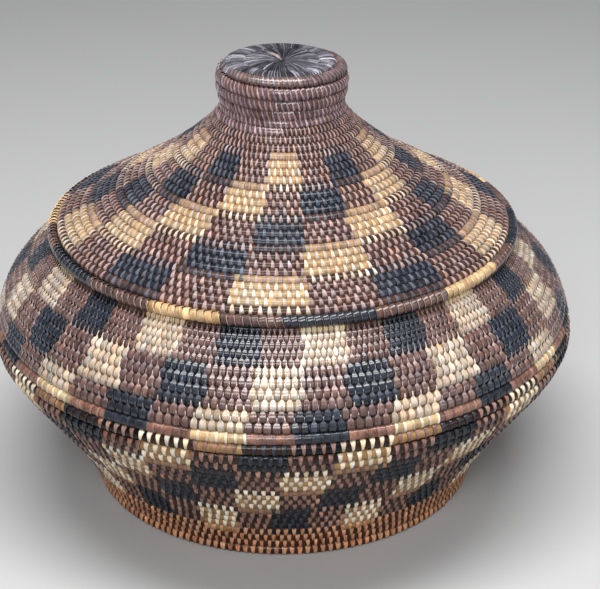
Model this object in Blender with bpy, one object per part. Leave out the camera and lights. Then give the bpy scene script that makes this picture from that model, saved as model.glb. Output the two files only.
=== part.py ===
# Coiled lidded basket: rows of bundled grass, each wound on and sewn to the row before it.
# The body is one long coil from the foot to the mouth with a flat coiled base inside it,
# and the lid is another, from the middle of its hollow knob out to its rim.
# Every row is a real turn of an unbroken tube, and every length is in metres.
import math

import bmesh
import bpy
import numpy as np

# Outline of the body, measured to the outside of the rows.
FOOT_RADIUS = 0.1020
BELLY_RADIUS = 0.1503
BELLY_HEIGHT = 0.0865
MOUTH_RADIUS = 0.1187
MOUTH_HEIGHT = 0.1337

# Outline of the lid, from its rim up to the neck and over the knob.
LID_RIM_RADIUS = 0.1205
LID_RISE = 0.0651
NECK_RADIUS = 0.0308
KNOB_RADIUS = 0.0324
KNOB_RISE = 0.0187
KNOB_EDGE_RADIUS = 0.0045

# The rows: how far apart they lie in each zone, and the thicker rows along the edges.
BASE_PITCH = 0.0055
LOWER_PITCH = 0.0056
BELLY_PITCH = 0.0050
SHOULDER_PITCH = 0.0041
KNOB_PITCH = 0.0050
LID_PITCH = 0.00435
FOOT_RIM_THICKNESS = 0.0055
MOUTH_RIM_THICKNESS = 0.0044
LID_RIM_THICKNESS = 0.0055
FLANGE_THICKNESS = 0.0042

# Clearances: between neighbouring rows, between butted ends, and round the lid's flange.
ROW_GAP = 0.00056
BUTT_GAP = 0.0003
SEAT_GAP = 0.00035
FLANGE_CLEARANCE = 0.0008

# How high the flat base lies, how much of the foot's edge row is cut flat to stand on, how many
# rows the flange has, and how many rows above and below the neck belong to the neck's coil.
BASE_HEIGHT = 0.0128
FOOT_FLAT_SHARE = 0.1
FLANGE_ROWS = 2
ROWS_ABOVE_NECK = 1
ROWS_BELOW_NECK = 1

# Outline points between two named sizes: (share of the way out, share of the way up).
LOWER_WALL_SHARES = ((0, 0), (0.01, 0.064), (0.054, 0.126), (0.176, 0.265), (0.362, 0.442),
                     (0.569, 0.609), (0.778, 0.776), (0.917, 0.89), (1, 1))
UPPER_WALL_SHARES = ((0.845, 0.373), (0.66, 0.568), (0.465, 0.71), (0.212, 0.888), (0, 1))
DOME_SHARES = ((0, 1), (0.028, 0.908), (0.098, 0.794), (0.202, 0.67), (0.322, 0.545),
               (0.457, 0.421), (0.618, 0.298), (0.751, 0.183), (0.89, 0.091), (1, 0))
KNOB_SIDE_SHARES = ((0.87, 0.41), (0.26, 0.21))
SHOULDER_START_SHARE = 0.71

# The tube of a row: points in each turn, where a turn starts (at the back), how near the
# tube's flats lie to its middle, and the share of a row left at a tapered end.
TURN_POINTS = 16
START_TURN_SHARE = 0.25
TUBE_SIDES = 6
FLAT_SHARE = math.cos(math.pi / TUBE_SIDES)
TAPER_END_SHARE = 0.3
HALF_SHARE = 0.5

# How finely curves are drawn, how finely a clear place is looked for, and which points of a
# tube count as one.
CURVE_STEPS = 12
SEARCH_STEP = 0.0001
WELD_DISTANCE = 0.00001


def clear_scene():
    """Start from an empty file."""
    for thing in list(bpy.data.objects):
        bpy.data.objects.remove(thing, do_unlink=True)


def new_collection(name):
    group = bpy.data.collections.new(name)
    bpy.context.scene.collection.children.link(group)
    return group


def new_material(name, colour, roughness):
    finish = bpy.data.materials.new(name)
    finish.use_nodes = True
    shader = finish.node_tree.nodes["Principled BSDF"]
    shader.inputs["Base Color"].default_value = (*colour, 1)
    shader.inputs["Roughness"].default_value = roughness
    shader.inputs["Metallic"].default_value = 0
    return finish


def smooth_outline(points):
    """A centripetal curve through the outline's points, as many short steps."""
    points = [np.array(point, float) for point in points]
    points = [2 * points[0] - points[1]] + points + [2 * points[-1] - points[-2]]
    steps = []
    for a, b, c, d in zip(points, points[1:], points[2:], points[3:]):
        knots = [0]
        for start, end in ((a, b), (b, c), (c, d)):
            knots.append(knots[-1] + math.sqrt(np.linalg.norm(end - start)))
        for t in np.linspace(knots[1], knots[2], CURVE_STEPS, endpoint=False):
            ab = a + (b - a) * (t - knots[0]) / (knots[1] - knots[0])
            bc = b + (c - b) * (t - knots[1]) / (knots[2] - knots[1])
            cd = c + (d - c) * (t - knots[2]) / (knots[3] - knots[2])
            left = ab + (bc - ab) * (t - knots[0]) / (knots[2] - knots[0])
            right = bc + (cd - bc) * (t - knots[1]) / (knots[3] - knots[1])
            steps.append(left + (right - left) * (t - knots[1]) / (knots[2] - knots[1]))
    return np.array(steps + [points[-2]])


class Outline:
    """The line through the middle of the rows, seen from the side as (radius, height)."""

    def __init__(self, points):
        self.points = np.array(points, float)
        lengths = np.linalg.norm(np.diff(self.points, axis=0), axis=1)
        self.distance = np.concatenate(([0], np.cumsum(lengths)))
        self.length = self.distance[-1]

    def at(self, distance):
        radius = np.interp(distance, self.distance, self.points[:, 0])
        return radius, np.interp(distance, self.distance, self.points[:, 1])

    def distance_at(self, point):
        away = np.linalg.norm(self.points - np.array(point), axis=1)
        return self.distance[int(np.argmin(away))]

    def nearest(self, point):
        """Least distance from a point to the line."""
        start, span = self.points[:-1], np.diff(self.points, axis=0)
        share = np.einsum("ij,ij->i", np.array(point) - start, span)
        share = np.clip(share / np.einsum("ij,ij->i", span, span), 0, 1)
        return np.linalg.norm(start + span * share[:, None] - np.array(point), axis=1).min()


class Rows:
    """Row edges along an outline: zones of evenly spaced rows, counted from its start."""

    def __init__(self, outline, start, zones):
        self.outline = outline
        self.counts = [0]
        self.edges = [start]
        for end, pitch in zones:
            rows = max(1, round((end - self.edges[-1]) / pitch))
            self.counts.append(self.counts[-1] + rows)
            self.edges.append(end)
        self.total = self.counts[-1]

    def edge(self, count):
        return float(np.interp(count, self.counts, self.edges))

    def point(self, turn):
        """Middle of the coil after so many turns, its tube's radius, and the outline's slope."""
        low = self.edge(max(turn - HALF_SHARE, 0))
        high = self.edge(min(turn + HALF_SHARE, self.total))
        radius, height = self.outline.at((low + high) / 2)
        ahead, behind = self.outline.at(high), self.outline.at(low)
        slope = math.atan2(ahead[1] - behind[1], ahead[0] - behind[0])
        angle = 2 * math.pi * (turn + START_TURN_SHARE)
        place = (radius * math.cos(angle), radius * math.sin(angle), height)
        return np.array(place), (math.dist(ahead, behind) - ROW_GAP) / 2, slope


def coil_points(rows, first, last, butt_first=False, butt_last=False):
    """Points of the turns from first to last. A butted end is cut square in mid stretch."""
    low = math.floor(first * TURN_POINTS) if butt_first else math.ceil(first * TURN_POINTS)
    high = math.ceil(last * TURN_POINTS) if butt_last else math.floor(last * TURN_POINTS)
    line = [rows.point(step / TURN_POINTS) for step in range(low, high + 1)]
    if butt_first:
        line[0] = butt_end(line[1], line[0])
    if butt_last:
        line[-1] = butt_end(line[-2], line[-1])
    return line


def butt_end(inner, outer):
    """The point where a stretch stops, half a butt gap short of its middle."""
    span = outer[0] - inner[0]
    length = np.linalg.norm(span)
    place = inner[0] + span * (length - BUTT_GAP) / (2 * length)
    return place, (inner[1] + outer[1]) / 2, (inner[2] + outer[2]) / 2


def ring_points(radius, height, tube, slope=math.pi / 2):
    """One level turn whose ends butt together in mid stretch."""
    line = []
    for step in range(TURN_POINTS + 2):
        angle = 2 * math.pi * (step / TURN_POINTS + START_TURN_SHARE)
        place = np.array((radius * math.cos(angle), radius * math.sin(angle), height))
        line.append((place, tube, slope))
    line[0] = butt_end(line[1], line[0])
    line[-1] = butt_end(line[-2], line[-1])
    return line


def tube_object(name, line, group, finish, parent):
    """A closed six-sided tube along the points, its edges turned towards the next rows."""
    curve = bpy.data.curves.new(name, "CURVE")
    curve.dimensions = "3D"
    curve.twist_mode = "Z_UP"
    curve.bevel_depth = 1
    curve.bevel_resolution = 1
    curve.use_fill_caps = True
    spline = curve.splines.new("POLY")
    spline.points.add(len(line) - 1)
    for point, (place, tube, slope) in zip(spline.points, line):
        point.co = (*place, 1)
        point.radius = tube
        point.tilt = -slope
    coil = bpy.data.objects.new(name, curve)
    group.objects.link(coil)
    curve.materials.append(finish)
    coil.parent = parent
    coil.matrix_parent_inverse = parent.matrix_basis.inverted()
    return coil


def as_mesh(tube):
    """The tube as a welded mesh in the tube's place, ready to be cut."""
    bpy.context.view_layer.update()
    mesh = bpy.data.meshes.new_from_object(tube.evaluated_get(bpy.context.evaluated_depsgraph_get()))
    edit = bmesh.new()
    edit.from_mesh(mesh)
    bmesh.ops.remove_doubles(edit, verts=edit.verts, dist=WELD_DISTANCE)
    bmesh.ops.recalc_face_normals(edit, faces=edit.faces)
    edit.to_mesh(mesh)
    edit.free()
    name, parent, group = tube.name, tube.parent, tube.users_collection[0]
    place = tube.matrix_world.copy()
    bpy.data.objects.remove(tube, do_unlink=True)
    solid = bpy.data.objects.new(name, mesh)
    group.objects.link(solid)
    solid.parent = parent
    solid.matrix_world = place
    return solid


def cut_flat(solid, reach, depth, group):
    """Takes off everything below height zero with a block that is a little larger."""
    bpy.ops.mesh.primitive_cube_add(size=1, location=(0, 0, -depth / 2))
    cutter = bpy.context.active_object
    cutter.name = solid.name + "_cutter"
    cutter.scale = (2 * reach, 2 * reach, depth)
    bpy.ops.object.transform_apply(location=False, rotation=False, scale=True)
    for home in list(cutter.users_collection):
        home.objects.unlink(cutter)
    group.objects.link(cutter)
    cutter.hide_render = True
    cutter.display_type = "WIRE"
    cut = solid.modifiers.new("flat_foot", "BOOLEAN")
    cut.operation = "DIFFERENCE"
    cut.solver = "EXACT"
    cut.object = cutter


def least_gap(line):
    """Least clear distance between one turn of a tube and the next, along its stretches."""
    gaps = []
    for step in range(len(line) - TURN_POINTS - 1):
        for share in (0, HALF_SHARE):
            near = [a + (b - a) * share for a, b in zip(line[step], line[step + 1])]
            turn = step + TURN_POINTS
            far = [a + (b - a) * share for a, b in zip(line[turn], line[turn + 1])]
            gaps.append(np.linalg.norm(near[0] - far[0]) - near[1] - far[1])
    return min(gaps) if gaps else math.inf


def first_clear(line, places, reach):
    """The first of the places that lies at least so far from an outline."""
    return next(place for place in places if line.nearest(place) >= reach)


def between(start, end, shares):
    """Outline points at shares of the way from one (radius, height) to another."""
    return [(start[0] + (end[0] - start[0]) * out, start[1] + (end[1] - start[1]) * up)
            for out, up in shares]


clear_scene()
parts = new_collection("coiled_basket")
cutters = new_collection("cutters")
straw = new_material("light_splint", (0.62, 0.45, 0.26), 0.4)
brown = new_material("brown_splint", (0.10, 0.045, 0.035), 0.4)
black = new_material("black_splint", (0.02, 0.023, 0.03), 0.35)
copper = new_material("copper_splint", (0.30, 0.14, 0.07), 0.45)
tan = new_material("tan_splint", (0.50, 0.34, 0.16), 0.4)

# The body: middle line of the wall's rows, from the foot's edge to the mouth's edge.
foot_tube = FOOT_RIM_THICKNESS / 2
mouth_tube = MOUTH_RIM_THICKNESS / 2
foot_cut = FOOT_RIM_THICKNESS * FOOT_FLAT_SHARE
foot_point = (FOOT_RADIUS - foot_tube, foot_tube - foot_cut)
belly_point = (BELLY_RADIUS - LOWER_PITCH / 2, BELLY_HEIGHT)
mouth_point = (MOUTH_RADIUS - mouth_tube, MOUTH_HEIGHT)
wall_points = between(foot_point, belly_point, LOWER_WALL_SHARES)
wall_points += between((mouth_point[0], belly_point[1]), (belly_point[0], mouth_point[1]),
                       UPPER_WALL_SHARES)
wall = Outline(smooth_outline(wall_points))
belly = wall.distance_at(belly_point)
wall_top = wall.length - mouth_tube - SEAT_GAP + ROW_GAP / 2
shoulder = belly + (wall_top - belly) * SHOULDER_START_SHARE
wall_rows = Rows(wall, foot_tube + SEAT_GAP - ROW_GAP / 2,
                 ((belly, LOWER_PITCH), (shoulder, BELLY_PITCH), (wall_top, SHOULDER_PITCH)))

body = bpy.data.objects.new("basket", None)
parts.objects.link(body)
base_tube = (BASE_PITCH - ROW_GAP) / 2
wall_tube = (LOWER_PITCH - ROW_GAP) / 2
wall_radius = np.interp(BASE_HEIGHT, wall.points[:, 1], wall.points[:, 0])
base_places = [(radius, BASE_HEIGHT) for radius in np.arange(wall_radius, 0, -SEARCH_STEP)]
base_reach = base_tube + wall_tube * FLAT_SHARE + SEAT_GAP
base_edge = first_clear(wall, base_places, base_reach)[0] + BASE_PITCH / 2
base = Outline(((0, BASE_HEIGHT), (base_edge, BASE_HEIGHT)))
base_rows = Rows(base, 0, ((base_edge, BASE_PITCH),))

half_step = HALF_SHARE / TURN_POINTS
last_end = HALF_SHARE - TAPER_END_SHARE
base_line = coil_points(base_rows, HALF_SHARE, base_rows.total + last_end)
wall_split = wall_rows.counts[1] + half_step
lower_line = coil_points(wall_rows, -last_end, wall_split, butt_last=True)
upper_line = coil_points(wall_rows, wall_split, wall_rows.total + last_end, butt_first=True)
tube_object("base_coil", base_line, parts, brown, body)
tube_object("lower_wall_coil", lower_line, parts, black, body)
tube_object("upper_wall_coil", upper_line, parts, brown, body)
tube_object("mouth_rim", ring_points(*mouth_point, mouth_tube), parts, brown, body)
foot = tube_object("foot_rim", ring_points(*foot_point, foot_tube), parts, copper, body)
cut_flat(as_mesh(foot), FOOT_RADIUS + foot_tube, FOOT_RIM_THICKNESS, cutters)

# The lid: middle line from the knob's centre over its edge, in at the neck, out to the rim.
lid_tube = LID_RIM_THICKNESS / 2
row_tube = LID_PITCH / 2
dome_tube = (LID_PITCH - ROW_GAP) / 2
rim_radius = LID_RIM_RADIUS - lid_tube
seat = lid_tube + mouth_tube + SEAT_GAP
rim_height = MOUTH_HEIGHT + math.sqrt(seat ** 2 - (rim_radius - mouth_point[0]) ** 2)
rim_point = (rim_radius, rim_height)
neck_point = (NECK_RADIUS - row_tube, rim_height + LID_RISE)
knob_side = KNOB_RADIUS - row_tube
knob_top = neck_point[1] + KNOB_RISE
knob_points = [(0, knob_top)]
for step in range(CURVE_STEPS + 1):
    turn = math.pi / 2 * step / CURVE_STEPS
    knob_points.append((knob_side - KNOB_EDGE_RADIUS * (1 - math.sin(turn)),
                        knob_top - KNOB_EDGE_RADIUS * (1 - math.cos(turn))))
flare_points = [knob_points[-1]]
flare_points += between(neck_point, (knob_side, knob_top), KNOB_SIDE_SHARES)
flare_points += between((neck_point[0], rim_height), (rim_radius, neck_point[1]), DOME_SHARES)
lid_line = Outline(knob_points[:-1] + list(smooth_outline(flare_points)))
knob_flat = knob_side - KNOB_EDGE_RADIUS
neck = lid_line.distance_at(neck_point)
lid_end = lid_line.length - lid_tube - SEAT_GAP + ROW_GAP / 2
lid_rows = Rows(lid_line, 0, ((knob_flat, LID_PITCH), (neck, KNOB_PITCH), (lid_end, LID_PITCH)))

lid = bpy.data.objects.new("lid", None)
parts.objects.link(lid)
lid.location = (0, 0, rim_height)
top_split = lid_rows.counts[1] - HALF_SHARE + half_step
neck_split = lid_rows.counts[2] - ROWS_ABOVE_NECK - HALF_SHARE + half_step
dome_split = lid_rows.counts[2] + ROWS_BELOW_NECK + HALF_SHARE + half_step
top_line = coil_points(lid_rows, HALF_SHARE, top_split, butt_last=True)
knob_line = coil_points(lid_rows, top_split, neck_split, butt_first=True, butt_last=True)
neck_line = coil_points(lid_rows, neck_split, dome_split, butt_first=True, butt_last=True)
dome_line = coil_points(lid_rows, dome_split, lid_rows.total + last_end, butt_first=True)
tube_object("knob_top_coil", top_line, parts, black, lid)
tube_object("knob_coil", knob_line, parts, brown, lid)
tube_object("neck_coil", neck_line, parts, brown, lid)
tube_object("dome_coil", dome_line, parts, straw, lid)
tube_object("lid_rim", ring_points(*rim_point, lid_tube), parts, tan, lid)

# The flange: level rows under the lid that drop inside the mouth and keep the lid centred.
flange_tube = FLANGE_THICKNESS / 2
flange_radius = mouth_point[0] - mouth_tube - FLANGE_CLEARANCE - flange_tube
flange_reach = flange_tube + dome_tube * FLAT_SHARE + SEAT_GAP
flange_places = [(flange_radius, height)
                 for height in np.arange(rim_height + lid_tube, MOUTH_HEIGHT, -SEARCH_STEP)]
flange_top = first_clear(lid_line, flange_places, flange_reach)[1]
flange_pitch = FLANGE_THICKNESS + ROW_GAP
flange_high = flange_top + flange_pitch / 2
flange_depth = FLANGE_ROWS * flange_pitch
flange_line = Outline(((flange_radius, flange_high), (flange_radius, flange_high - flange_depth)))
flange_rows = Rows(flange_line, 0, ((flange_depth, flange_pitch),))
flange_coil = coil_points(flange_rows, -last_end, flange_rows.total + last_end)
tube_object("lid_flange", flange_coil, parts, tan, lid)

for label, line in (("base", base_line), ("lower wall", lower_line), ("upper wall", upper_line),
                    ("knob top", top_line), ("knob", knob_line), ("neck", neck_line),
                    ("dome", dome_line), ("flange", flange_coil)):
    turns = (len(line) - 1) / TURN_POINTS
    print(f"{label}: {turns:.1f} turns, least gap to itself {least_gap(line) * 1000:.2f} mm")
print(f"base edge {base_edge * 1000:.1f}, lid rim height {rim_height * 1000:.1f},"
      f" knob top {knob_top * 1000 + row_tube * 1000:.1f}, flange {flange_radius * 1000:.1f} at"
      f" {flange_top * 1000:.1f} mm")
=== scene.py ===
# The looks of a coiled, lidded basket: rows of grass wound round and round, each one sewn to
# the row before it with dyed palm splints in straw, brown and blue-black. Every stitch is
# modelled, and the stepped blocks of colour come from where each stitch lies on the coil.
import math
import random

import bmesh
import bpy
import numpy as np
from mathutils import Matrix, Vector


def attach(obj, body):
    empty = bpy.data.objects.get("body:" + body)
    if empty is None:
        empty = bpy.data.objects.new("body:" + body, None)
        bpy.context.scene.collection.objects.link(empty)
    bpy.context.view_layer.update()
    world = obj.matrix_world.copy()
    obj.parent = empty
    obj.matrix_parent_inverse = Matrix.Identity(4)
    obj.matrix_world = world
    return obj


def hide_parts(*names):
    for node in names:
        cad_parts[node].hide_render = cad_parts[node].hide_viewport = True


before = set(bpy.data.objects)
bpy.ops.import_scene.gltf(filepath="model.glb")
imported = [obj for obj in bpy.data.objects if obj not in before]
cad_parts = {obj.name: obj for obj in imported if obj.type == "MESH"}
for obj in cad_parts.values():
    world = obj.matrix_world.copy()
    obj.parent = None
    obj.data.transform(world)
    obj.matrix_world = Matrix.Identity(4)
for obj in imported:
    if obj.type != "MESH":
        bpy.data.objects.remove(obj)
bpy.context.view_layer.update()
chance = random.Random(7)


# The splints: strips of palm leaf, scraped smooth and dyed before sewing. The fibres run along
# a strip, the dye lies unevenly between them, and the strip's skin keeps a natural gloss.
SPLINT_COLOURS = {
    "straw": ((0.80, 0.66, 0.45), (0.52, 0.37, 0.20)),
    "tan": ((0.66, 0.46, 0.25), (0.38, 0.22, 0.10)),
    "brown": ((0.135, 0.078, 0.062), (0.046, 0.022, 0.018)),
    "black": ((0.020, 0.025, 0.036), (0.005, 0.006, 0.010)),
    "copper": ((0.34, 0.150, 0.070), (0.13, 0.048, 0.022)),
    "grey": ((0.105, 0.100, 0.118), (0.032, 0.031, 0.038)),
}
FIBRE_STRETCH = (2.6, 0.5, 0)
STRIPS_APART = (150, 150, 150)
FIBRE_SCALE, PATCH_SCALE, WEAR_SCALE = 1.7, 260.0, 24.0
FIBRE_SHARE, PATCH_SHARE, WEAR_SHARE = 0.45, 0.40, 0.15
DARKEST, PALEST = 0.36, 0.60
SMOOTH_ROUGHNESS, FIBRE_ROUGHNESS = 0.16, 0.16
SPLINT_SHINE = 0.25
SKIN_SHINE, SKIN_ROUGHNESS = 0.8, 0.27
FIBRE_RELIEF, FIBRE_HEIGHT = 0.14, 0.0002


class Value:
    """A shader socket that takes sums and products as Math nodes."""

    def __init__(self, tree, socket):
        self.tree, self.socket = tree, socket

    def maths(self, operation, first, second):
        node = self.tree.nodes.new("ShaderNodeMath")
        node.operation = operation
        for socket, value in zip(node.inputs, (first, second)):
            if isinstance(value, Value):
                self.tree.links.new(value.socket, socket)
            else:
                socket.default_value = value
        return Value(self.tree, node.outputs[0])

    def __add__(self, other):
        return self.maths("ADD", self, other)

    def __mul__(self, other):
        return self.maths("MULTIPLY", self, other)

    __radd__, __rmul__ = __add__, __mul__


class Finish:
    """A material with a Principled shader, and one method that adds any other node."""

    def __init__(self, name):
        self.material = bpy.data.materials.new(name)
        self.material.use_nodes = True
        self.tree = self.material.node_tree
        self.shader = self.tree.nodes["Principled BSDF"]

    def put(self, socket, value):
        if isinstance(value, Value):
            self.tree.links.new(value.socket, socket)
        else:
            socket.default_value = value

    def node(self, kind, settings, values, output=0):
        """Adds a node: its settings by name, its inputs by name or number."""
        node = self.tree.nodes.new("ShaderNode" + kind)
        for key, setting in settings.items():
            setattr(node, key, setting)
        for key, value in values.items():
            self.put(node.inputs[key], value)
        return Value(self.tree, node.outputs[output])

    def mix(self, share, first, second, blend="MIX"):
        return self.node("Mix", {"data_type": "RGBA", "blend_type": blend},
                         {0: share, 6: first, 7: second}, 2)

    def paint(self, name, value):
        self.put(self.shader.inputs[name], value)


def splint_finish(name, colour, deep):
    """The UV map has a strip's width in u and its length in v. The vertex colour tells the strips apart
    and also carries their painted highlights, painted shade and painted sheen, and its alpha is how far
    hands have polished them."""
    finish = Finish(name)
    dye_and_painted_light = finish.node("VertexColor", {"layer_name": "dye_and_painted_light"}, {})
    polish = finish.node("VertexColor", {"layer_name": "dye_and_painted_light"}, {}, 1)
    place = finish.node("TexCoord", {}, {}, 3)
    strip = finish.node("UVMap", {"uv_map": "strip"}, {})
    spread = finish.node("VectorMath", {"operation": "MULTIPLY"}, {0: strip, 1: FIBRE_STRETCH})
    apart = finish.node("VectorMath", {"operation": "MULTIPLY"}, {0: place, 1: STRIPS_APART})
    fibre_place = finish.node("VectorMath", {"operation": "ADD"}, {0: spread, 1: apart})
    fibres = finish.node("TexNoise", {}, {"Vector": fibre_place, "Scale": FIBRE_SCALE, "Detail": 3.0})
    patches = finish.node("TexNoise", {}, {"Vector": place, "Scale": PATCH_SCALE, "Detail": 1.0})
    wear = finish.node("TexNoise", {}, {"Vector": place, "Scale": WEAR_SCALE, "Detail": 2.0})
    unevenness = fibres * FIBRE_SHARE + patches * PATCH_SHARE + wear * WEAR_SHARE
    shade = finish.node("MapRange", {}, {"Value": unevenness, "From Min": DARKEST, "From Max": PALEST})
    strip_colour = finish.mix(shade, (*deep, 1), (*colour, 1))
    finish.paint("Base Color", finish.mix(1.0, strip_colour, dye_and_painted_light, "MULTIPLY"))
    finish.paint("Roughness", fibres * FIBRE_ROUGHNESS + SMOOTH_ROUGHNESS)
    finish.paint("Specular IOR Level", SPLINT_SHINE)
    finish.paint("Coat Weight", polish * SKIN_SHINE)
    finish.paint("Coat Roughness", SKIN_ROUGHNESS)
    relief = {"Height": fibres, "Strength": FIBRE_RELIEF, "Distance": FIBRE_HEIGHT}
    finish.paint("Normal", finish.node("Bump", {}, relief))
    return finish.material


splints = {name: splint_finish(name + "_splint", *shades)
           for name, shades in SPLINT_COLOURS.items()}


# The grass inside the rows shows only as the dark ground between stitches. It is painted a darker shade
# of the stitches over it, a painted shade for the gaps between them.
GAP_SHADES = {"straw": (0.34, 0.21, 0.10, 1), "tan": (0.17, 0.095, 0.045, 1),
          "brown": (0.055, 0.028, 0.023, 1), "black": (0.010, 0.012, 0.018, 1),
          "copper": (0.075, 0.030, 0.016, 1)}
GRAIN_SCALE = 900.0
GRAIN_SHADES = ((0.4, 0.4, 0.4, 1), (1.3, 1.3, 1.3, 1))
GRAIN_RELIEF, GRAIN_HEIGHT = 0.5, 0.0003
GRASS_ROUGHNESS = 0.72
GROUND_POINTS = 120
GROUND_SIDES = 6
GROUND_SHARE = 0.98


def ground_finish():
    finish = Finish("gap_shaded_grass")
    gap_shade = finish.node("VertexColor", {"layer_name": "gap_shade"}, {})
    place = finish.node("TexCoord", {}, {}, 3)
    grain = finish.node("TexNoise", {}, {"Vector": place, "Scale": GRAIN_SCALE, "Detail": 2.0})
    worn = finish.mix(grain, *GRAIN_SHADES)
    finish.paint("Base Color", finish.mix(1.0, gap_shade, worn, "MULTIPLY"))
    finish.paint("Roughness", GRASS_ROUGHNESS)
    relief = {"Height": grain, "Strength": GRAIN_RELIEF, "Distance": GRAIN_HEIGHT}
    finish.paint("Normal", finish.node("Bump", {}, relief))
    return finish.material


grass = ground_finish()


# The body's wall: one long bundle of grass that winds from the foot up to the mouth. Each row
# lies against the row before it, so the rows are counted off along the wall's outline.
FOOT_EDGE = (0.09925, 0.00220)
BELLY_EDGE = (0.1475, 0.0865)
MOUTH_EDGE = (0.1165, 0.1337)
LOWER_WALL_SHARES = ((0, 0), (0.01, 0.064), (0.054, 0.126), (0.176, 0.265), (0.362, 0.442),
                     (0.569, 0.609), (0.778, 0.776), (0.917, 0.89), (1, 1))
UPPER_WALL_SHARES = ((0.845, 0.373), (0.66, 0.568), (0.465, 0.71), (0.212, 0.888), (0, 1))
LOWER_ROWS, BELLY_ROWS, SHOULDER_ROWS = 17, 8, 4
SHOULDER_START_SHARE = 0.71
FIRST_ROW_START = 0.00282
LAST_ROW_END = 0.00227
BACK_TURN_SHARE = 0.25
CURVE_STEPS = 12
TAPER_END = 0.2
ROW_FULLNESS = 1.02
WELD = 0.00001


def smooth_outline(points):
    """A centripetal curve through (radius, height) points."""
    points = [np.array(point, float) for point in points]
    points = [2 * points[0] - points[1]] + points + [2 * points[-1] - points[-2]]
    steps = []
    for a, b, c, d in zip(points, points[1:], points[2:], points[3:]):
        knots = [0]
        for start, end in ((a, b), (b, c), (c, d)):
            knots.append(knots[-1] + math.sqrt(np.linalg.norm(end - start)))
        for t in np.linspace(knots[1], knots[2], CURVE_STEPS, endpoint=False):
            ab = a + (b - a) * (t - knots[0]) / (knots[1] - knots[0])
            bc = b + (c - b) * (t - knots[1]) / (knots[2] - knots[1])
            cd = c + (d - c) * (t - knots[2]) / (knots[3] - knots[2])
            left = ab + (bc - ab) * (t - knots[0]) / (knots[2] - knots[0])
            right = bc + (cd - bc) * (t - knots[1]) / (knots[3] - knots[1])
            steps.append(left + (right - left) * (t - knots[1]) / (knots[2] - knots[1]))
    return np.array(steps + [points[-2]])


def between(start, end, shares):
    """Points at (share out, share up) of the way from one (radius, height) to another."""
    return [(start[0] + (end[0] - start[0]) * out, start[1] + (end[1] - start[1]) * up)
            for out, up in shares]


class Coil:
    """Rows along an outline. side is 1 where the outside lies right of its direction, or -1."""

    def __init__(self, points, side):
        self.points = np.array(points, float)
        steps = np.linalg.norm(np.diff(self.points, axis=0), axis=1)
        self.distance = np.concatenate(([0], np.cumsum(steps)))
        self.length, self.side = self.distance[-1], side

    def nearest(self, point):
        away = np.linalg.norm(self.points - np.array(point), axis=1)
        return self.distance[int(np.argmin(away))]

    def rows(self, counts, edges):
        """Sets the outline's distance at each of these counts of rows."""
        self.counts, self.edges = counts, edges
        return self

    def at(self, distance):
        """Radius and height so far along the outline."""
        return np.array([np.interp(distance, self.distance, self.points[:, axis]) for axis in (0, 1)])

    def place(self, turn):
        """Middle, outward and onward directions, and half thickness after so many turns."""
        low = np.interp(max(turn - 0.5, 0), self.counts, self.edges)
        high = np.interp(min(turn + 0.5, self.counts[-1]), self.counts, self.edges)
        radius, height = self.at((low + high) / 2)
        run, rise = self.at(high) - self.at(low)
        slope = math.atan2(rise, run)
        angle = 2 * math.pi * (turn + BACK_TURN_SHARE)
        out, up = Vector((math.cos(angle), math.sin(angle), 0)), Vector((0, 0, 1))
        onward = out * math.cos(slope) + up * math.sin(slope)
        outward = (out * math.sin(slope) - up * math.cos(slope)) * self.side
        return out * radius + up * height, outward, onward, math.hypot(run, rise) / 2 * ROW_FULLNESS


def add_piece(name, shape, finish, body, nodes):
    """A finished piece at the origin that rides on a body and stands for its CAD nodes."""
    mesh = bpy.data.meshes.new(name)
    shape.to_mesh(mesh)
    shape.free()
    mesh.materials.append(finish)
    piece = bpy.data.objects.new(name, mesh)
    bpy.context.scene.collection.objects.link(piece)
    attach(piece, body)
    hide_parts(*nodes)


def wind(name, place, first, last, colour, body, nodes, points=GROUND_POINTS):
    """The bundle itself, from one count of turns to another, closed at both ends."""
    steps = round((last - first) * points)
    shape = bmesh.new()
    gap_shade = shape.loops.layers.float_color.new("gap_shade")
    bmesh.ops.create_grid(shape, x_segments=steps, y_segments=GROUND_SIDES, size=1)
    for face in shape.faces:
        turn = first + (last - first) * (face.calc_center_median().x + 1) / 2
        # Painted shade: the ground in each stretch is a dark tone of its stitches' colour.
        shade = GAP_SHADES[colour(turn, place(turn)[0])]
        face.smooth = True
        for corner in face.loops:
            corner[gap_shade] = shade
    for vert in shape.verts:
        turn, angle = first + (last - first) * (vert.co.x + 1) / 2, math.pi * vert.co.y
        middle, outward, onward, half = place(turn)
        vert.co = middle + (outward * math.cos(angle) + onward * math.sin(angle)) * half * GROUND_SHARE
    bmesh.ops.remove_doubles(shape, verts=shape.verts, dist=WELD)
    rims = [edge for edge in shape.edges if edge.is_boundary]
    bmesh.ops.holes_fill(shape, edges=rims, sides=GROUND_SIDES)
    bmesh.ops.recalc_face_normals(shape, faces=shape.faces)
    add_piece(name, shape, grass, body, nodes)


# A stitch is a strip that wraps its row as a closed band. A pad is as broad as its place, and a
# body narrows to a spire that lies over the newer row, between two of that row's stitches.
RING_STEPS = 12
STRIP_FLAT = 0.78
STRIP_RISE = 0.10
STRIP_SINK = 0.08
ROW_SQUARENESS = 0.09
INNER_WIDTH = 0.8
SAME_PLACE = 0.001
SPIRE_PATH = {-60: (-0.90, 0.70), -90: (-1.28, 0.92), -120: (-2.10, 1.10), -150: (-1.1, -0.3)}


def strip_section(shape, rise, flat, sink):
    """Cross-section of a strip on a row of radius one: x along the row, z outward."""
    corners = ((-1, 0, 1 - sink), (-flat, 0, 1 + rise), (flat, 0, 1 + rise), (1, 0, 1 - sink))
    section = [shape.verts.new(corner) for corner in corners]
    return section + [shape.edges.new(pair) for pair in zip(section, section[1:] + section[:1])]


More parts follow.
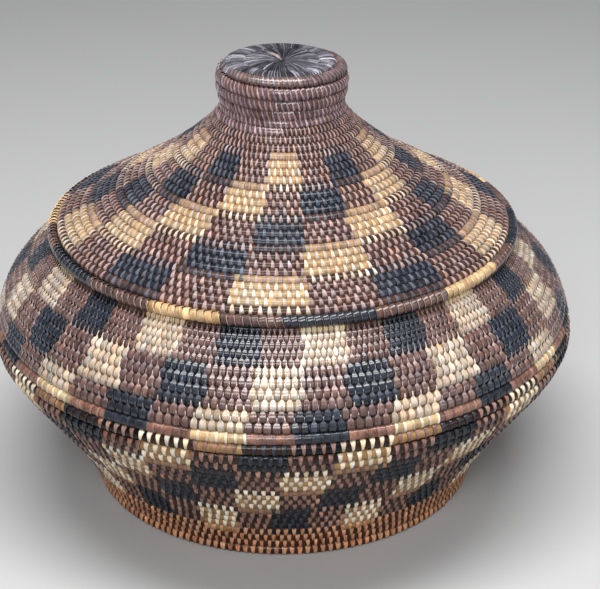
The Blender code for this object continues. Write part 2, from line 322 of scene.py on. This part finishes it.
def finish_strip(shape, flat):
    """Sharp long edges, and a UV map of (across, along the strip)."""
    bmesh.ops.recalc_face_normals(shape, faces=shape.faces)
    for edge in shape.edges:
        one, other = (vert.co.x for vert in edge.verts)
        edge.smooth = abs(one - other) > SAME_PLACE or abs(abs(one) - flat) > SAME_PLACE
    strip = shape.loops.layers.uv.new("strip")
    for face in shape.faces:
        face.smooth = True
        centre = face.calc_center_median()
        middle = math.atan2(centre.y, centre.z)
        for corner in face.loops:
            turn = math.atan2(corner.vert.co.y, corner.vert.co.z) - middle
            turn = middle + (turn + math.pi) % (2 * math.pi) - math.pi
            corner[strip].uv = (corner.vert.co.x, turn)


def close_ends(shape):
    """A face over each open end of a four-sided strip."""
    rims = [edge for edge in shape.edges if edge.is_boundary]
    bmesh.ops.holes_fill(shape, edges=rims, sides=4)


def square_off(vert, amount):
    """Rows press on each other, so their sides are fuller than a circle's."""
    angle = abs(math.atan2(vert.co.y, vert.co.z))
    fuller = 1 + amount * math.sin(1.5 * min(angle, math.pi - angle)) ** 2
    vert.co.y *= fuller
    vert.co.z *= fuller


highlit_corners = {}


def keep_strip(name, shape, highlit=()):
    """The finished mesh, with room for each copy's colour, painted light included, and a list of the
    corners painted pale as a highlight.
    """
    mesh = bpy.data.meshes.new(name)
    highlit_corners[name] = np.array([[vert in highlit] for vert in shape.verts])
    shape.to_mesh(mesh)
    shape.free()
    mesh.attributes.new("dye_and_painted_light", "FLOAT_COLOR", "POINT")
    return mesh


def ring_strip(name, widths, spire=False, rise=STRIP_RISE, flat=STRIP_FLAT, sink=STRIP_SINK,
               squareness=0):
    """A strip right round its row, with its widths from the newer row's side onward."""
    shape = bmesh.new()
    bmesh.ops.spin(shape, geom=strip_section(shape, rise, flat, sink), cent=(0, 0, 0), axis=(1, 0, 0),
                   angle=2 * math.pi, steps=RING_STEPS, use_merge=True)
    finish_strip(shape, flat)
    highlit = set()
    for vert in shape.verts:
        degrees = round(math.degrees(math.atan2(vert.co.y, vert.co.z)))
        step = round((90 - degrees) * RING_STEPS / 360)
        vert.co.x *= widths[step] if 0 <= step < len(widths) else INNER_WIDTH
        square_off(vert, squareness)
        # A spire's corners are listed for painted highlight tones.
        if spire and degrees in SPIRE_PATH:
            lift = math.hypot(vert.co.y, vert.co.z) - 1
            vert.co.y, vert.co.z = SPIRE_PATH[degrees]
            vert.co.z += min(lift, rise) / 2
            highlit.add(vert)
    return keep_strip(name, shape, highlit)


# A wedge is the part of the older row's splint that crosses a row's face: narrow where it comes
# out between two pads, and broad and square where it goes under at the newer row's side.
WEDGE_STEPS = 4
WEDGE_REACH = math.radians(64)
WEDGE_RISE, WEDGE_FLAT, WEDGE_SINK = 0.14, 0.84, 0.02
WEDGE_LIFT = 0.07


def wedge_strip(name, broad, narrow, rise=WEDGE_RISE, lift=WEDGE_LIFT):
    """An arc of a strip over the outside of a row, lifted where it is broad."""
    shape = bmesh.new()
    section = strip_section(shape, rise, WEDGE_FLAT, WEDGE_SINK)
    corners = [part for part in section if isinstance(part, bmesh.types.BMVert)]
    back = Matrix.Rotation(-WEDGE_REACH, 3, "X")
    bmesh.ops.rotate(shape, verts=corners, cent=(0, 0, 0), matrix=back)
    bmesh.ops.spin(shape, geom=section, cent=(0, 0, 0), axis=(1, 0, 0), angle=2 * WEDGE_REACH,
                   steps=WEDGE_STEPS)
    close_ends(shape)
    finish_strip(shape, WEDGE_FLAT)
    for vert in shape.verts:
        share = (math.atan2(vert.co.y, vert.co.z) / WEDGE_REACH + 1) / 2
        vert.co.x *= narrow + (broad - narrow) * share
        square_off(vert, ROW_SQUARENESS)
        vert.co *= 1 + lift * share
        vert.co.x /= 1 + lift * share
    return keep_strip(name, shape)


LEAF_WIDTHS = (0.60, 0.82, 0.94, 0.94, 0.84, 0.52, 0.17, 0.11)
BODY_WIDTHS = (0.93, 0.93, 0.93, 0.93, 0.90, 0.64, 0.20, 0.13)
PAD_WIDTHS = (0.94,) * 8
PAD_RISE, COLUMN_RISE, PAD_SINK = 0.02, 0.03, 0.05
leaf = ring_strip("leaf", LEAF_WIDTHS, spire=True)
body = ring_strip("body", BODY_WIDTHS, spire=True)
pad = ring_strip("pad", PAD_WIDTHS, rise=PAD_RISE, sink=PAD_SINK, squareness=ROW_SQUARENESS)
column = ring_strip("column", PAD_WIDTHS, rise=COLUMN_RISE, sink=PAD_SINK,
                    squareness=ROW_SQUARENESS)
wedge = wedge_strip("wedge", broad=0.66, narrow=0.12)
bar = wedge_strip("bar", broad=0.36, narrow=0.28, lift=0)
WEDGES = {pad.name: wedge, column.name: bar}


def facing(point):
    """Degrees round the basket from the front, positive to the right."""
    return math.degrees(math.atan2(point.x, -point.y))


BLOCKS = ((0.27, "straw"), (0.51, "brown"), (0.76, "black"), (1, "brown"))


def block(point, period, start, blocks=BLOCKS):
    """Colour of the block that a point lies in, where start is a straw block's left edge."""
    share = ((facing(point) - start) / period) % 1
    return next(splint for end, splint in blocks if share < end)


# Tones that multiply each stitch's colour. Where a splint stands up it is painted paler, a painted
# highlight, and where it lies low it is painted darker, a painted shade. The wall below the belly and
# the foot have their own tones, with deeper painted shade on their pads, and the spires above the belly
# are painted brighter in brown and black, a painted sheen.
PAINTED_HIGHLIGHTS = {"straw": (0.86, 0.88, 1.08), "tan": (1.3, 1.45, 1.7), "brown": (3.3, 4.2, 4.9),
          "black": (6.3, 5.3, 4.4), "copper": (1.8, 2.4, 3.0)}
DOME_PAD_SHADE = {"straw": (0.50, 0.41, 0.32), "brown": (0.60, 0.50, 0.48), "black": (1.1, 1.0, 1.0)}
FADED_AND_SHEEN = {"straw": (0.73, 0.76, 0.95), "brown": (1.45, 1.5, 1.65), "black": (1.5, 1.5, 1.5)}
GOLDEN = {"straw": (0.82, 0.74, 0.62), "brown": (2.1, 1.9, 1.75), "black": (1.5, 1.4, 1.3)}
LOW_PAINTED_HIGHLIGHTS = {"straw": (1.15, 1.25, 1.50), "brown": (2.6, 2.6, 2.6), "black": (2.0, 1.8, 1.6),
              "copper": (2.1, 2.4, 2.8)}
LOW_PAINTED_SHADE = {"straw": (0.50, 0.37, 0.25), "brown": (0.30, 0.23, 0.18), "black": (0.25, 0.25, 0.25),
            "copper": (0.20, 0.14, 0.12)}
PLAIN = dict.fromkeys(PAINTED_HIGHLIGHTS, (1, 1, 1))
DYE_SPREAD = 0.16
WARMTH_SPREAD = 0.05
LEAN_SPREAD = 0.06
WIDTH_SPREAD = 0.05
THICKNESS_SPREAD = 0.02


def sew(name, place, runs, colour, rides, nodes, tones=PLAIN, polish=0, shift=0.5):
    """Sews runs of (first turn, last turn, stitches a turn, shape, side of the spire, lean). Half
    a stitch more a turn lays each one between two of the older row. Stitches of one colour
    become one piece. A shift of 1 is halfway between two of 0.5."""
    sewn = {}
    for first, last, per_turn, shape, side, lean in runs:
        count = round((last - first) * (per_turn + 0.5))
        for number in range(count):
            turn = first + (last - first) * (number + shift) / count
            middle, outward, onward, half = place(turn)
            onward = onward * side
            along = onward.cross(outward)
            tilt = lean * side + chance.gauss(0, LEAN_SPREAD)
            breadth = math.pi * math.hypot(middle.x, middle.y) / per_turn
            width = breadth * chance.gauss(1, WIDTH_SPREAD)
            tall = half * chance.gauss(1, THICKNESS_SPREAD)
            turned = Matrix(((along - onward * tilt) * width, (onward + along * tilt) * tall,
                             outward * tall)).transposed().to_4x4()
            turned.translation = middle
            strength = math.exp(chance.gauss(0, DYE_SPREAD))
            warmth = math.exp(chance.gauss(0, WARMTH_SPREAD))
            splint = colour(turn, middle)
            # Spire corners take the painted highlight tones, and the rest of the stitch its layer's
            # tones.
            tone = np.where(highlit_corners[shape.name], PAINTED_HIGHLIGHTS[splint], tones[splint])
            dye_and_painted_light = np.full((len(tone), 4), float(polish))
            dye_and_painted_light[:, :3] = tone * (strength * warmth, strength, strength / warmth)
            copy = shape.copy()
            copy.transform(turned)
            copy.attributes["dye_and_painted_light"].data.foreach_set("color", dye_and_painted_light.ravel())
            sewn.setdefault(splint, bmesh.new()).from_mesh(copy)
            bpy.data.meshes.remove(copy)
    for splint, stitches in sewn.items():
        add_piece(f"{name}_{splint}", stitches, splints[splint], rides, nodes)


def sew_wedges(name, place, runs, colour, rides, nodes, tones=PAINTED_HIGHLIGHTS, polish=0):
    """The wedges on the same rows, each halfway between two pads, in the older row's colour; the
    default tones paint them paler as a highlight.
    """

    def older(turn, point):
        return colour(turn - 1, point)

    between_pads = [(first, last, per_turn, WEDGES[shape.name], 1, lean)
                    for first, last, per_turn, shape, side, lean in runs if shape.name in WEDGES]
    sew(name, place, between_pads, older, rides, nodes, tones, polish, shift=1)


wall = Coil(smooth_outline(between(FOOT_EDGE, BELLY_EDGE, LOWER_WALL_SHARES)
                           + between((MOUTH_EDGE[0], BELLY_EDGE[1]), (BELLY_EDGE[0], MOUTH_EDGE[1]),
                                     UPPER_WALL_SHARES)), 1)
belly_length = wall.nearest(BELLY_EDGE)
wall_end = wall.length - LAST_ROW_END
shoulder_length = belly_length + (wall_end - belly_length) * SHOULDER_START_SHARE
wall_counts = (0, LOWER_ROWS, LOWER_ROWS + BELLY_ROWS, LOWER_ROWS + BELLY_ROWS + SHOULDER_ROWS)
wall.rows(wall_counts, (FIRST_ROW_START, belly_length, shoulder_length, wall_end))

# The pattern on the wall goes down in bands of four rows. Each band steps the blocks of colour
# to one side, which makes the slanting bars: (rows up to, band). The first rows are plain.
COPPER_BAND = 8
WALL_BANDS = ((2, COPPER_BAND), (6, 7), (10, 6), (14, 5), (17, 4), (21, 3), (25, 2), (30, 1))
WALL_PERIOD = 36
WALL_FIRST_BLOCK = 4
WALL_STEP = 10.2

# Wedges cross the rows below the belly, and spires those above it: (rows up to, stitches a turn,
# shape, side of the spire). A layer is (end of the name, shapes, tones, polish).
WALL_STITCHES = ((3, 168, pad, 1), (6, 172, pad, 1), (10, 184, pad, 1), (14, 196, pad, 1),
                 (18, 207, pad, 1), (19, 214, column, 1), (21, 218, body, -1), (23, 235, body, -1),
                 (24, 250, body, -1), (25, 256, leaf, -1), (30, 288, leaf, -1))
# The pads below the belly take painted shade, and the spires a painted sheen in brown and black.
WALL_LAYERS = (("", (pad,), LOW_PAINTED_SHADE, 0), ("_columns", (column,), GOLDEN, 0.5),
               ("_spires", (body, leaf), FADED_AND_SHEEN, 1))


def wall_colour(turn, point):
    band_number = next(band_number for end, band_number in WALL_BANDS if turn < end)
    if band_number == COPPER_BAND:
        return "copper"
    return block(point, WALL_PERIOD, WALL_FIRST_BLOCK - WALL_STEP * (band_number - 1))


def wall_runs(first, last):
    """The runs of stitches between two counts of rows."""
    runs, start = [], -TAPER_END
    for end, per_turn, shape, side in WALL_STITCHES:
        if max(start, first) < min(end, last):
            runs.append((max(start, first), min(end, last), per_turn, shape, side, 0))
        start = end
    return runs


wall_last = wall_counts[-1] + TAPER_END
wind("lower_wall_grass", wall.place, -TAPER_END, LOWER_ROWS, wall_colour, "basket",
     ["lower_wall_coil"])
wind("upper_wall_grass", wall.place, LOWER_ROWS, wall_last, wall_colour, "basket",
     ["upper_wall_coil"])
for name, first, last in (("lower_wall", -TAPER_END, LOWER_ROWS),
                          ("upper_wall", LOWER_ROWS, wall_last)):
    runs, nodes = wall_runs(first, last), [name + "_coil"]
    for kind, shapes, tones, polish in WALL_LAYERS:
        own_runs = [run for run in runs if run[3] in shapes]
        sew(name + kind, wall.place, own_runs, wall_colour, "basket", nodes, tones, polish)
    sew_wedges(name + "_wedges", wall.place, runs, wall_colour, "basket", nodes, LOW_PAINTED_HIGHLIGHTS)


# The foot: a thicker row of grass, sewn under the first row of the wall with copper-brown
# splints. It closes on itself, and the basket stands on it.
FOOT_HEIGHT = 0.0027
FOOT_HALF = 0.0024
FOOT_STITCHES = 164


def level_row(radius, height, half, side=1):
    """A row that closes on itself."""

    def place(turn):
        angle = 2 * math.pi * (turn + BACK_TURN_SHARE)
        out = Vector((math.cos(angle), math.sin(angle), 0))
        return out * radius + Vector((0, 0, height)), out, Vector((0, 0, side)), half

    return place


def copper_only(turn, point):
    return "copper"


foot_pad = ring_strip("foot_pad", PAD_WIDTHS, rise=PAD_RISE, sink=PAD_SINK,
                      squareness=ROW_SQUARENESS)
WEDGES[foot_pad.name] = wedge_strip("foot_wedge", broad=0.84, narrow=0.34)
foot_row = level_row(FOOT_EDGE[0], FOOT_HEIGHT, FOOT_HALF)
wind("foot_rim_grass", foot_row, 0, 1, copper_only, "basket", ["foot_rim"])
foot_runs = [(0, 1, FOOT_STITCHES, foot_pad, 1, 0)]
# The foot's pads are painted darker as shade, and its wedges paler as highlights.
sew("foot_rim", foot_row, foot_runs, copper_only, "basket", ["foot_rim"], LOW_PAINTED_SHADE)
sew_wedges("foot_wedges", foot_row, foot_runs, copper_only, "basket", ["foot_rim"], LOW_PAINTED_HIGHLIGHTS)


# The mouth's edge row: a thin row of grass, sewn on top of the wall's last row with splints that
# carry on the pattern of the top band. The lid's rim rests on it.
MOUTH_HALF = 0.0021
MOUTH_STITCHES = 288
MOUTH_LEAN = 0.04
mouth_row = level_row(*MOUTH_EDGE, MOUTH_HALF)
mouth_runs = [(0, 1, MOUTH_STITCHES, leaf, 1, MOUTH_LEAN)]


def mouth_colour(turn, point):
    return wall_colour(wall_counts[-1], point)


wind("mouth_rim_grass", mouth_row, 0, 1, mouth_colour, "basket", ["mouth_rim"])
sew("mouth_rim", mouth_row, mouth_runs, mouth_colour, "basket", ["mouth_rim"])


# The base: a flat coil of grass from the middle outwards, sewn in plain brown. It lies inside the
# foot's ring, and its last row is sewn to the wall's first rows.
BASE_HEIGHT = 0.0128
BASE_EDGE = 0.0990
BASE_ROWS = 18
BASE_MIDDLE_STITCHES = 10
BASE_ADDED_STITCHES = 9
BASE_LEAN = 0.05
BASE_POINTS = 64
floor_coil = Coil(((0, BASE_HEIGHT), (BASE_EDGE, BASE_HEIGHT)), -1)
floor_coil.rows((0, BASE_ROWS), (0, BASE_EDGE))


def brown_only(turn, point):
    return "brown"


base_last = BASE_ROWS + TAPER_END
base_runs = [(row + 0.5, min(row + 1.5, base_last),
              BASE_MIDDLE_STITCHES + BASE_ADDED_STITCHES * row, leaf, 1, BASE_LEAN)
             for row in range(BASE_ROWS)]
wind("base_grass", floor_coil.place, 0.5, base_last, brown_only, "basket", ["base_coil"],
     BASE_POINTS)
sew("base", floor_coil.place, base_runs, brown_only, "basket", ["base_coil"])


# The lid: a second coil that starts in the middle of the knob's top, turns down over its edge,
# draws in at the neck, and spreads out over the dome to the rim.
RIM_EDGE = (0.11775, 0.1389)
NECK_EDGE = (0.028625, 0.2039)
KNOB_SIDE = 0.030225
KNOB_TOP = 0.2226
KNOB_EDGE_RADIUS = 0.0045
KNOB_SIDE_SHARES = ((0.87, 0.41), (0.26, 0.21))
DOME_SHARES = ((0, 1), (0.028, 0.908), (0.098, 0.794), (0.202, 0.67), (0.322, 0.545),
               (0.457, 0.421), (0.618, 0.298), (0.751, 0.183), (0.89, 0.091), (1, 0))
KNOB_PITCH = 0.0050
LID_PITCH = 0.00435
RIM_ROW_START = 0.00282

knob_outline = [(0, KNOB_TOP)]
for step in range(CURVE_STEPS + 1):
    bend = math.pi / 2 * step / CURVE_STEPS
    knob_outline.append((KNOB_SIDE - KNOB_EDGE_RADIUS * (1 - math.sin(bend)),
                         KNOB_TOP - KNOB_EDGE_RADIUS * (1 - math.cos(bend))))
flare = [knob_outline[-1]] + between(NECK_EDGE, (KNOB_SIDE, KNOB_TOP), KNOB_SIDE_SHARES)
flare += between((NECK_EDGE[0], RIM_EDGE[1]), (RIM_EDGE[0], NECK_EDGE[1]), DOME_SHARES)
lid = Coil(knob_outline[:-1] + list(smooth_outline(flare)), -1)
lid_edges = [0, KNOB_SIDE - KNOB_EDGE_RADIUS, lid.nearest(NECK_EDGE), lid.length - RIM_ROW_START]
lid_counts = [0]
for near, far, pitch in zip(lid_edges, lid_edges[1:], (LID_PITCH, KNOB_PITCH, LID_PITCH)):
    lid_counts.append(lid_counts[-1] + round((far - near) / pitch))
lid.rows(lid_counts, lid_edges)
top_split = lid_counts[1] - 0.5
neck_split = lid_counts[2] - 1.5
dome_split = lid_counts[2] + 1.5
lid_last = lid_counts[-1] + TAPER_END

# The dome: wedges cross all its rows, broad towards the rim. Its blocks of colour are twice as
# wide as the wall's and step the other way: (rows from the rim, band, stitches a turn). The
# last band, up to the neck, is plain.
PATTERN_ROWS = 21
DOME_BANDS = ((5, 1, 166), (9, 2, 148), (13, 3, 124), (17, 4, 112),
              (PATTERN_ROWS, 5, 106), (60, 6, 94))
LID_PERIOD = 72
LID_FIRST_BLOCK = -32
LID_STEP = 19
DOME_LEAN = -0.08


def lid_colour(turn, point):
    rows = lid_counts[-1] - turn
    if rows < 1 or rows > PATTERN_ROWS:
        return "brown"
    band = next(band for end, band, _ in DOME_BANDS if rows < end)
    return block(point, LID_PERIOD, LID_FIRST_BLOCK + LID_STEP * band)


dome_stops = [lid_counts[-1] - end for end, _, _ in reversed(DOME_BANDS[:-1])] + [lid_last]
dome_starts = [dome_split] + dome_stops
dome_runs = [(first, last, per_turn, pad, 1, DOME_LEAN) for first, last, (_, _, per_turn)
             in zip(dome_starts, dome_stops, reversed(DOME_BANDS))]
wind("dome_grass", lid.place, dome_split, lid_last, lid_colour, "lid", ["dome_coil"])
# The dome's pads are painted darker as shade, and its wedges paler as highlights.
sew("dome", lid.place, dome_runs, lid_colour, "lid", ["dome_coil"], DOME_PAD_SHADE)
sew_wedges("dome_wedges", lid.place, dome_runs, lid_colour, "lid", ["dome_coil"])


# The lid's rim: a thick row of grass under the dome's last row, wrapped edge to edge in broad glossy
# splints. A pale line in painted highlight tones shows where two of them meet.
RIM_HALF = 0.00262
RIM_STITCHES = 205
RIM_LEAN = -0.22
RIM_BLOCKS = ((0.26, "straw"), (0.45, "brown"), (0.745, "black"), (1, "brown"))
WRAP_WIDTHS = (0.97,) * 8
wrap = ring_strip("wrap", WRAP_WIDTHS, rise=0.08, flat=0.66, sink=0.02)
rim_line = wedge_strip("rim_line", broad=0.15, narrow=0.12, rise=0.10, lift=0)
rim_row = level_row(*RIM_EDGE, RIM_HALF, -1)


def rim_colour(turn, point):
    shade = block(point, LID_PERIOD, LID_FIRST_BLOCK, RIM_BLOCKS)
    return "tan" if shade == "straw" else shade


wind("lid_rim_grass", rim_row, 0, 1, rim_colour, "lid", ["lid_rim"])
for name, shape, tones, shift in (("lid_rim", wrap, PLAIN, 0.5), ("rim_lines", rim_line, PAINTED_HIGHLIGHTS, 1)):
    rim_runs = [(0, 1, RIM_STITCHES, shape, 1, RIM_LEAN)]
    sew(name, rim_row, rim_runs, rim_colour, "lid", ["lid_rim"], tones, polish=1, shift=shift)


# The knob: the coil's first rows, sewn in reddish brown down its side and in at the neck. Its
# stitches lean, because the coil was turned in the hand while the side went up. They start at
# the left, and up to there the top's grey splints cover the edge.
KNOB_STITCHES = 76
# The knob's wedges are painted paler: the brown ones as a painted highlight, the black ones in the pale
# lines' own colour.
KNOB_PALE_AND_HIGHLIGHT = {"brown": (3.6, 4.5, 6.2), "black": (13, 8.5, 6)}
KNOB_PADS = {"brown": (1.20, 1.18, 1.35)}
KNOB_LEAN = -0.24
FIRST_STITCH_TURN = 0.32
top_edge = lid_counts[1] + FIRST_STITCH_TURN
knob_pad = ring_strip("knob_pad", PAD_WIDTHS, rise=0.05, flat=0.70, sink=PAD_SINK, squareness=0.15)
WEDGES[knob_pad.name] = wedge


def knob_colour(turn, point):
    return "black" if turn < top_edge else "brown"


for name, first, last in (("knob", top_split, neck_split), ("neck", neck_split, dome_split)):
    nodes = [name + "_coil"]
    runs = [(max(first, top_edge), last, KNOB_STITCHES, knob_pad, 1, KNOB_LEAN)]
    wind(name + "_grass", lid.place, first, last, knob_colour, "lid", nodes)
    sew(name, lid.place, runs, knob_colour, "lid", nodes, KNOB_PADS, polish=1)
    sew_wedges(name + "_wedges", lid.place, runs, knob_colour, "lid", nodes, KNOB_PALE_AND_HIGHLIGHT, polish=1)


# The knob's top: the coil starts here. Long thin splints run out from a dimple, and a second,
# paler ring of them reaches ever further out, till it goes over the edge at the back and left.
FAN_SPLINTS = 104
FAN_SPREAD = 0.65
FAN_NARROW, FAN_BROAD = 0.8, 1.05
FAN_RIDGE_SHARE = 0.3
FAN_OVERLAP = 0.0012
FAN_INNER, FAN_INNER_END = 0.0180, 0.0200
FAN_START, FAN_EDGE = 0.0258, 0.0308
FAN_SEAM_SHARE = -0.4
FAN_POLISH = 0.4
FAN_SWIRL = math.radians(9)
FAN_OUTLINE = ((0.07, -0.0006), (0.20, 0.0002), (0.45, 0.0008), (0.75, 0.0008), (1.0, 0.0002))
EDGE_OUTLINE = ((0.0, 0.0), (0.35, 0.0007), (0.66, 0.0007), (0.86, 0.0001), (1.0, -0.0022))
FAN_HEIGHT = 0.2247
FAN_THICKNESS = 0.0006


def blade(name, stations):
    """A flat strip drawn out through stations of (distance, height, half width)."""
    shape = bmesh.new()
    corners = ((-1, -FAN_THICKNESS), (-FAN_RIDGE_SHARE, 0), (FAN_RIDGE_SHARE, 0),
               (1, -FAN_THICKNESS))
    reach, height, width = stations[0]
    section = [shape.verts.new((across * width, reach, height + up)) for across, up in corners]
    loop = [shape.edges.new(pair) for pair in zip(section, section[1:] + section[:1])]
    for (_, _, before), (reach, height, width) in zip(stations, stations[1:]):
        drawn = bmesh.ops.extrude_edge_only(shape, edges=loop)["geom"]
        loop = [part for part in drawn if isinstance(part, bmesh.types.BMEdge)]
        for vert in (part for part in drawn if isinstance(part, bmesh.types.BMVert)):
            across = min(corners, key=lambda corner: abs(corner[0] * before - vert.co.x))
            vert.co = (across[0] * width, reach, height + across[1])
    close_ends(shape)
    bmesh.ops.recalc_face_normals(shape, faces=shape.faces)
    strip = shape.loops.layers.uv.new("strip")
    for face in shape.faces:
        for corner in face.loops:
            corner[strip].uv = (corner.vert.co.x / stations[-1][2], corner.vert.co.y / stations[-1][0])
    return keep_strip(name, shape)


def lay(fan, mesh, dye_and_painted_light):
    """Adds a blade in its own dye."""
    mesh.attributes["dye_and_painted_light"].data.foreach_set("color", [*dye_and_painted_light, FAN_POLISH] * len(mesh.vertices))
    fan.from_mesh(mesh)
    bpy.data.meshes.remove(mesh)


def fan_out(name, outline, reach, share, tone):
    """One ring of blades, from reach(turn)'s first to its second radius."""
    fan = bmesh.new()
    for number in range(FAN_SPLINTS):
        turn = number / FAN_SPLINTS
        inner, outer = reach(turn)
        if outer - inner < FAN_THICKNESS:
            continue
        gap = chance.uniform(FAN_NARROW, FAN_BROAD) * share * math.pi / FAN_SPLINTS
        stations = [(inner + (outer - inner) * along, FAN_HEIGHT + height) for along, height in outline]
        mesh = blade(name, [(radius, height, radius * gap) for radius, height in stations])
        angle = 2 * math.pi * (FAN_SEAM_SHARE + turn) - math.pi / 2
        mesh.transform(Matrix.Rotation(angle, 4, "Z"))
        lay(fan, mesh, [tone * math.exp(chance.gauss(0, FAN_SPREAD))] * 3)
    for vert in fan.verts:
        vert.co.rotate(Matrix.Rotation(FAN_SWIRL * vert.co.xy.length / FAN_EDGE, 3, "Z"))
    add_piece(name, fan, splints["grey"], "lid", ["knob_top_coil"])


def inner_reach(turn):
    return 0, FAN_INNER + (FAN_INNER_END - FAN_INNER) * turn


def outer_reach(turn):
    return FAN_INNER - FAN_OVERLAP, FAN_START + (FAN_EDGE - FAN_START) * turn


def black_only(turn, point):
    return "black"


wind("knob_top_grass", lid.place, 0.5, top_split, black_only, "lid", ["knob_top_coil"])
fan_out("knob_top", FAN_OUTLINE, inner_reach, share=0.76, tone=1.0)
fan_out("knob_edge", EDGE_OUTLINE, outer_reach, share=0.60, tone=1.6)

# The splint that starts the coil was tucked in last, so it lies over the others, pinker. Its
# outline is (distance, height over the others, half width).
FIRST_SPLINT = ((0.0002, 0.0002, 0.0004), (0.0040, 0.0016, 0.0012), (0.0085, 0.0016, 0.0011),
                (0.0130, 0.0010, 0.0003))
FIRST_SPLINT_TURN = math.radians(36)
FIRST_SPLINT_DYE = (3.4, 2.7, 2.3)
start = bmesh.new()
stations = [(along, FAN_HEIGHT + up, half) for along, up, half in FIRST_SPLINT]
first_splint = blade("first_splint", stations)
first_splint.transform(Matrix.Rotation(FIRST_SPLINT_TURN, 4, "Z"))
lay(start, first_splint, FIRST_SPLINT_DYE)
add_piece("knob_first_splint", start, splints["grey"], "lid", ["knob_top_coil"])


# The lid's flange: two more rows of grass, wound straight down under the dome and sewn in tan.
# They drop inside the mouth and keep the lid in the middle.
FLANGE_RADIUS = 0.1114
FLANGE_TOP = 0.1379
FLANGE_PITCH = 0.00476
FLANGE_ROWS = 2
FLANGE_STITCHES = 180
FLANGE_POINTS = 96
flange = Coil(((FLANGE_RADIUS, FLANGE_TOP + FLANGE_PITCH / 2),
               (FLANGE_RADIUS, FLANGE_TOP + FLANGE_PITCH / 2 - FLANGE_ROWS * FLANGE_PITCH)), 1)
flange.rows((0, FLANGE_ROWS), (0, FLANGE_ROWS * FLANGE_PITCH))


def tan_only(turn, point):
    return "tan"


flange_last = FLANGE_ROWS + TAPER_END
flange_runs = [(-TAPER_END, flange_last, FLANGE_STITCHES, pad, 1, 0)]
wind("flange_grass", flange.place, -TAPER_END, flange_last, tan_only, "lid", ["lid_flange"],
     FLANGE_POINTS)
sew("flange", flange.place, flange_runs, tan_only, "lid", ["lid_flange"])


# The table and the studio: a pale sweep that throws little light back, a large soft lamp over
# the camera's left shoulder, a wide one above that makes the rows glint, and a weak fill. A lamp
# is (name, place, width, depth, watts).
SWEEP_HALF = 6
SWEEP_SEEN = (0.48, 0.48, 0.48, 1)
SWEEP_THROWN = (0.20, 0.20, 0.20, 1)
SWEEP_ROUGHNESS = 0.9
AIM = Vector((0, 0, 0.10))
LAMPS = (("key", (-0.15, -1.15, 0.85), 0.6, 0.4, 11), ("top", (0, -0.15, 1.35), 1.2, 0.32, 22),
         ("fill", (1.2, -0.7, 0.6), 0.8, 0.4, 3))
ROOM_COLOUR = (0.85, 0.87, 0.9, 1)
ROOM_STRENGTH = 0.20


def studio_finish():
    finish = Finish("pale_sweep")
    seen = finish.node("LightPath", {}, {}, 0)
    mirrored = finish.node("LightPath", {}, {}, 3)
    passed = finish.node("LightPath", {}, {}, 6)
    shown = finish.mix(seen + mirrored + passed, SWEEP_THROWN, SWEEP_SEEN)
    finish.paint("Base Color", shown)
    finish.paint("Roughness", SWEEP_ROUGHNESS)
    return finish.material


sweep_shape = bmesh.new()
bmesh.ops.create_grid(sweep_shape, x_segments=1, y_segments=1, size=SWEEP_HALF)
sweep_mesh = bpy.data.meshes.new("sweep")
sweep_shape.to_mesh(sweep_mesh)
sweep_shape.free()
sweep_mesh.materials.append(studio_finish())
sweep = bpy.data.objects.new("sweep", sweep_mesh)
bpy.context.scene.collection.objects.link(sweep)

for name, place, width, depth, power in LAMPS:
    lamp = bpy.data.lights.new(name, "AREA")
    lamp.energy, lamp.shape, lamp.size, lamp.size_y = power, "RECTANGLE", width, depth
    lamp_object = bpy.data.objects.new(name, lamp)
    lamp_object.location = place
    lamp_object.rotation_euler = (AIM - Vector(place)).to_track_quat("-Z", "Y").to_euler()
    bpy.context.scene.collection.objects.link(lamp_object)

room = bpy.data.worlds.new("room")
room.use_nodes = True
room.node_tree.nodes["Background"].inputs["Color"].default_value = ROOM_COLOUR
room.node_tree.nodes["Background"].inputs["Strength"].default_value = ROOM_STRENGTH
bpy.context.scene.world = room
bpy.context.scene.view_settings.view_transform = "Standard"

# The camera: where the photograph was taken from, above the basket's front. It looks down at it
# and is aimed a little right of its middle.
CAMERA_PLACE = (0, -0.8128, 0.4874)
CAMERA_PITCH = math.radians(25.73)
CAMERA_YAW = math.radians(0.63)
SENSOR_WIDTH, LENS_LENGTH = 36, 102.6
lens = bpy.data.cameras.new("camera")
lens.sensor_width, lens.lens = SENSOR_WIDTH, LENS_LENGTH
camera = bpy.data.objects.new("camera", lens)
camera.location = CAMERA_PLACE
camera.rotation_euler = (math.pi / 2 - CAMERA_PITCH, 0, -CAMERA_YAW)
bpy.context.scene.collection.objects.link(camera)
bpy.context.scene.camera = camera
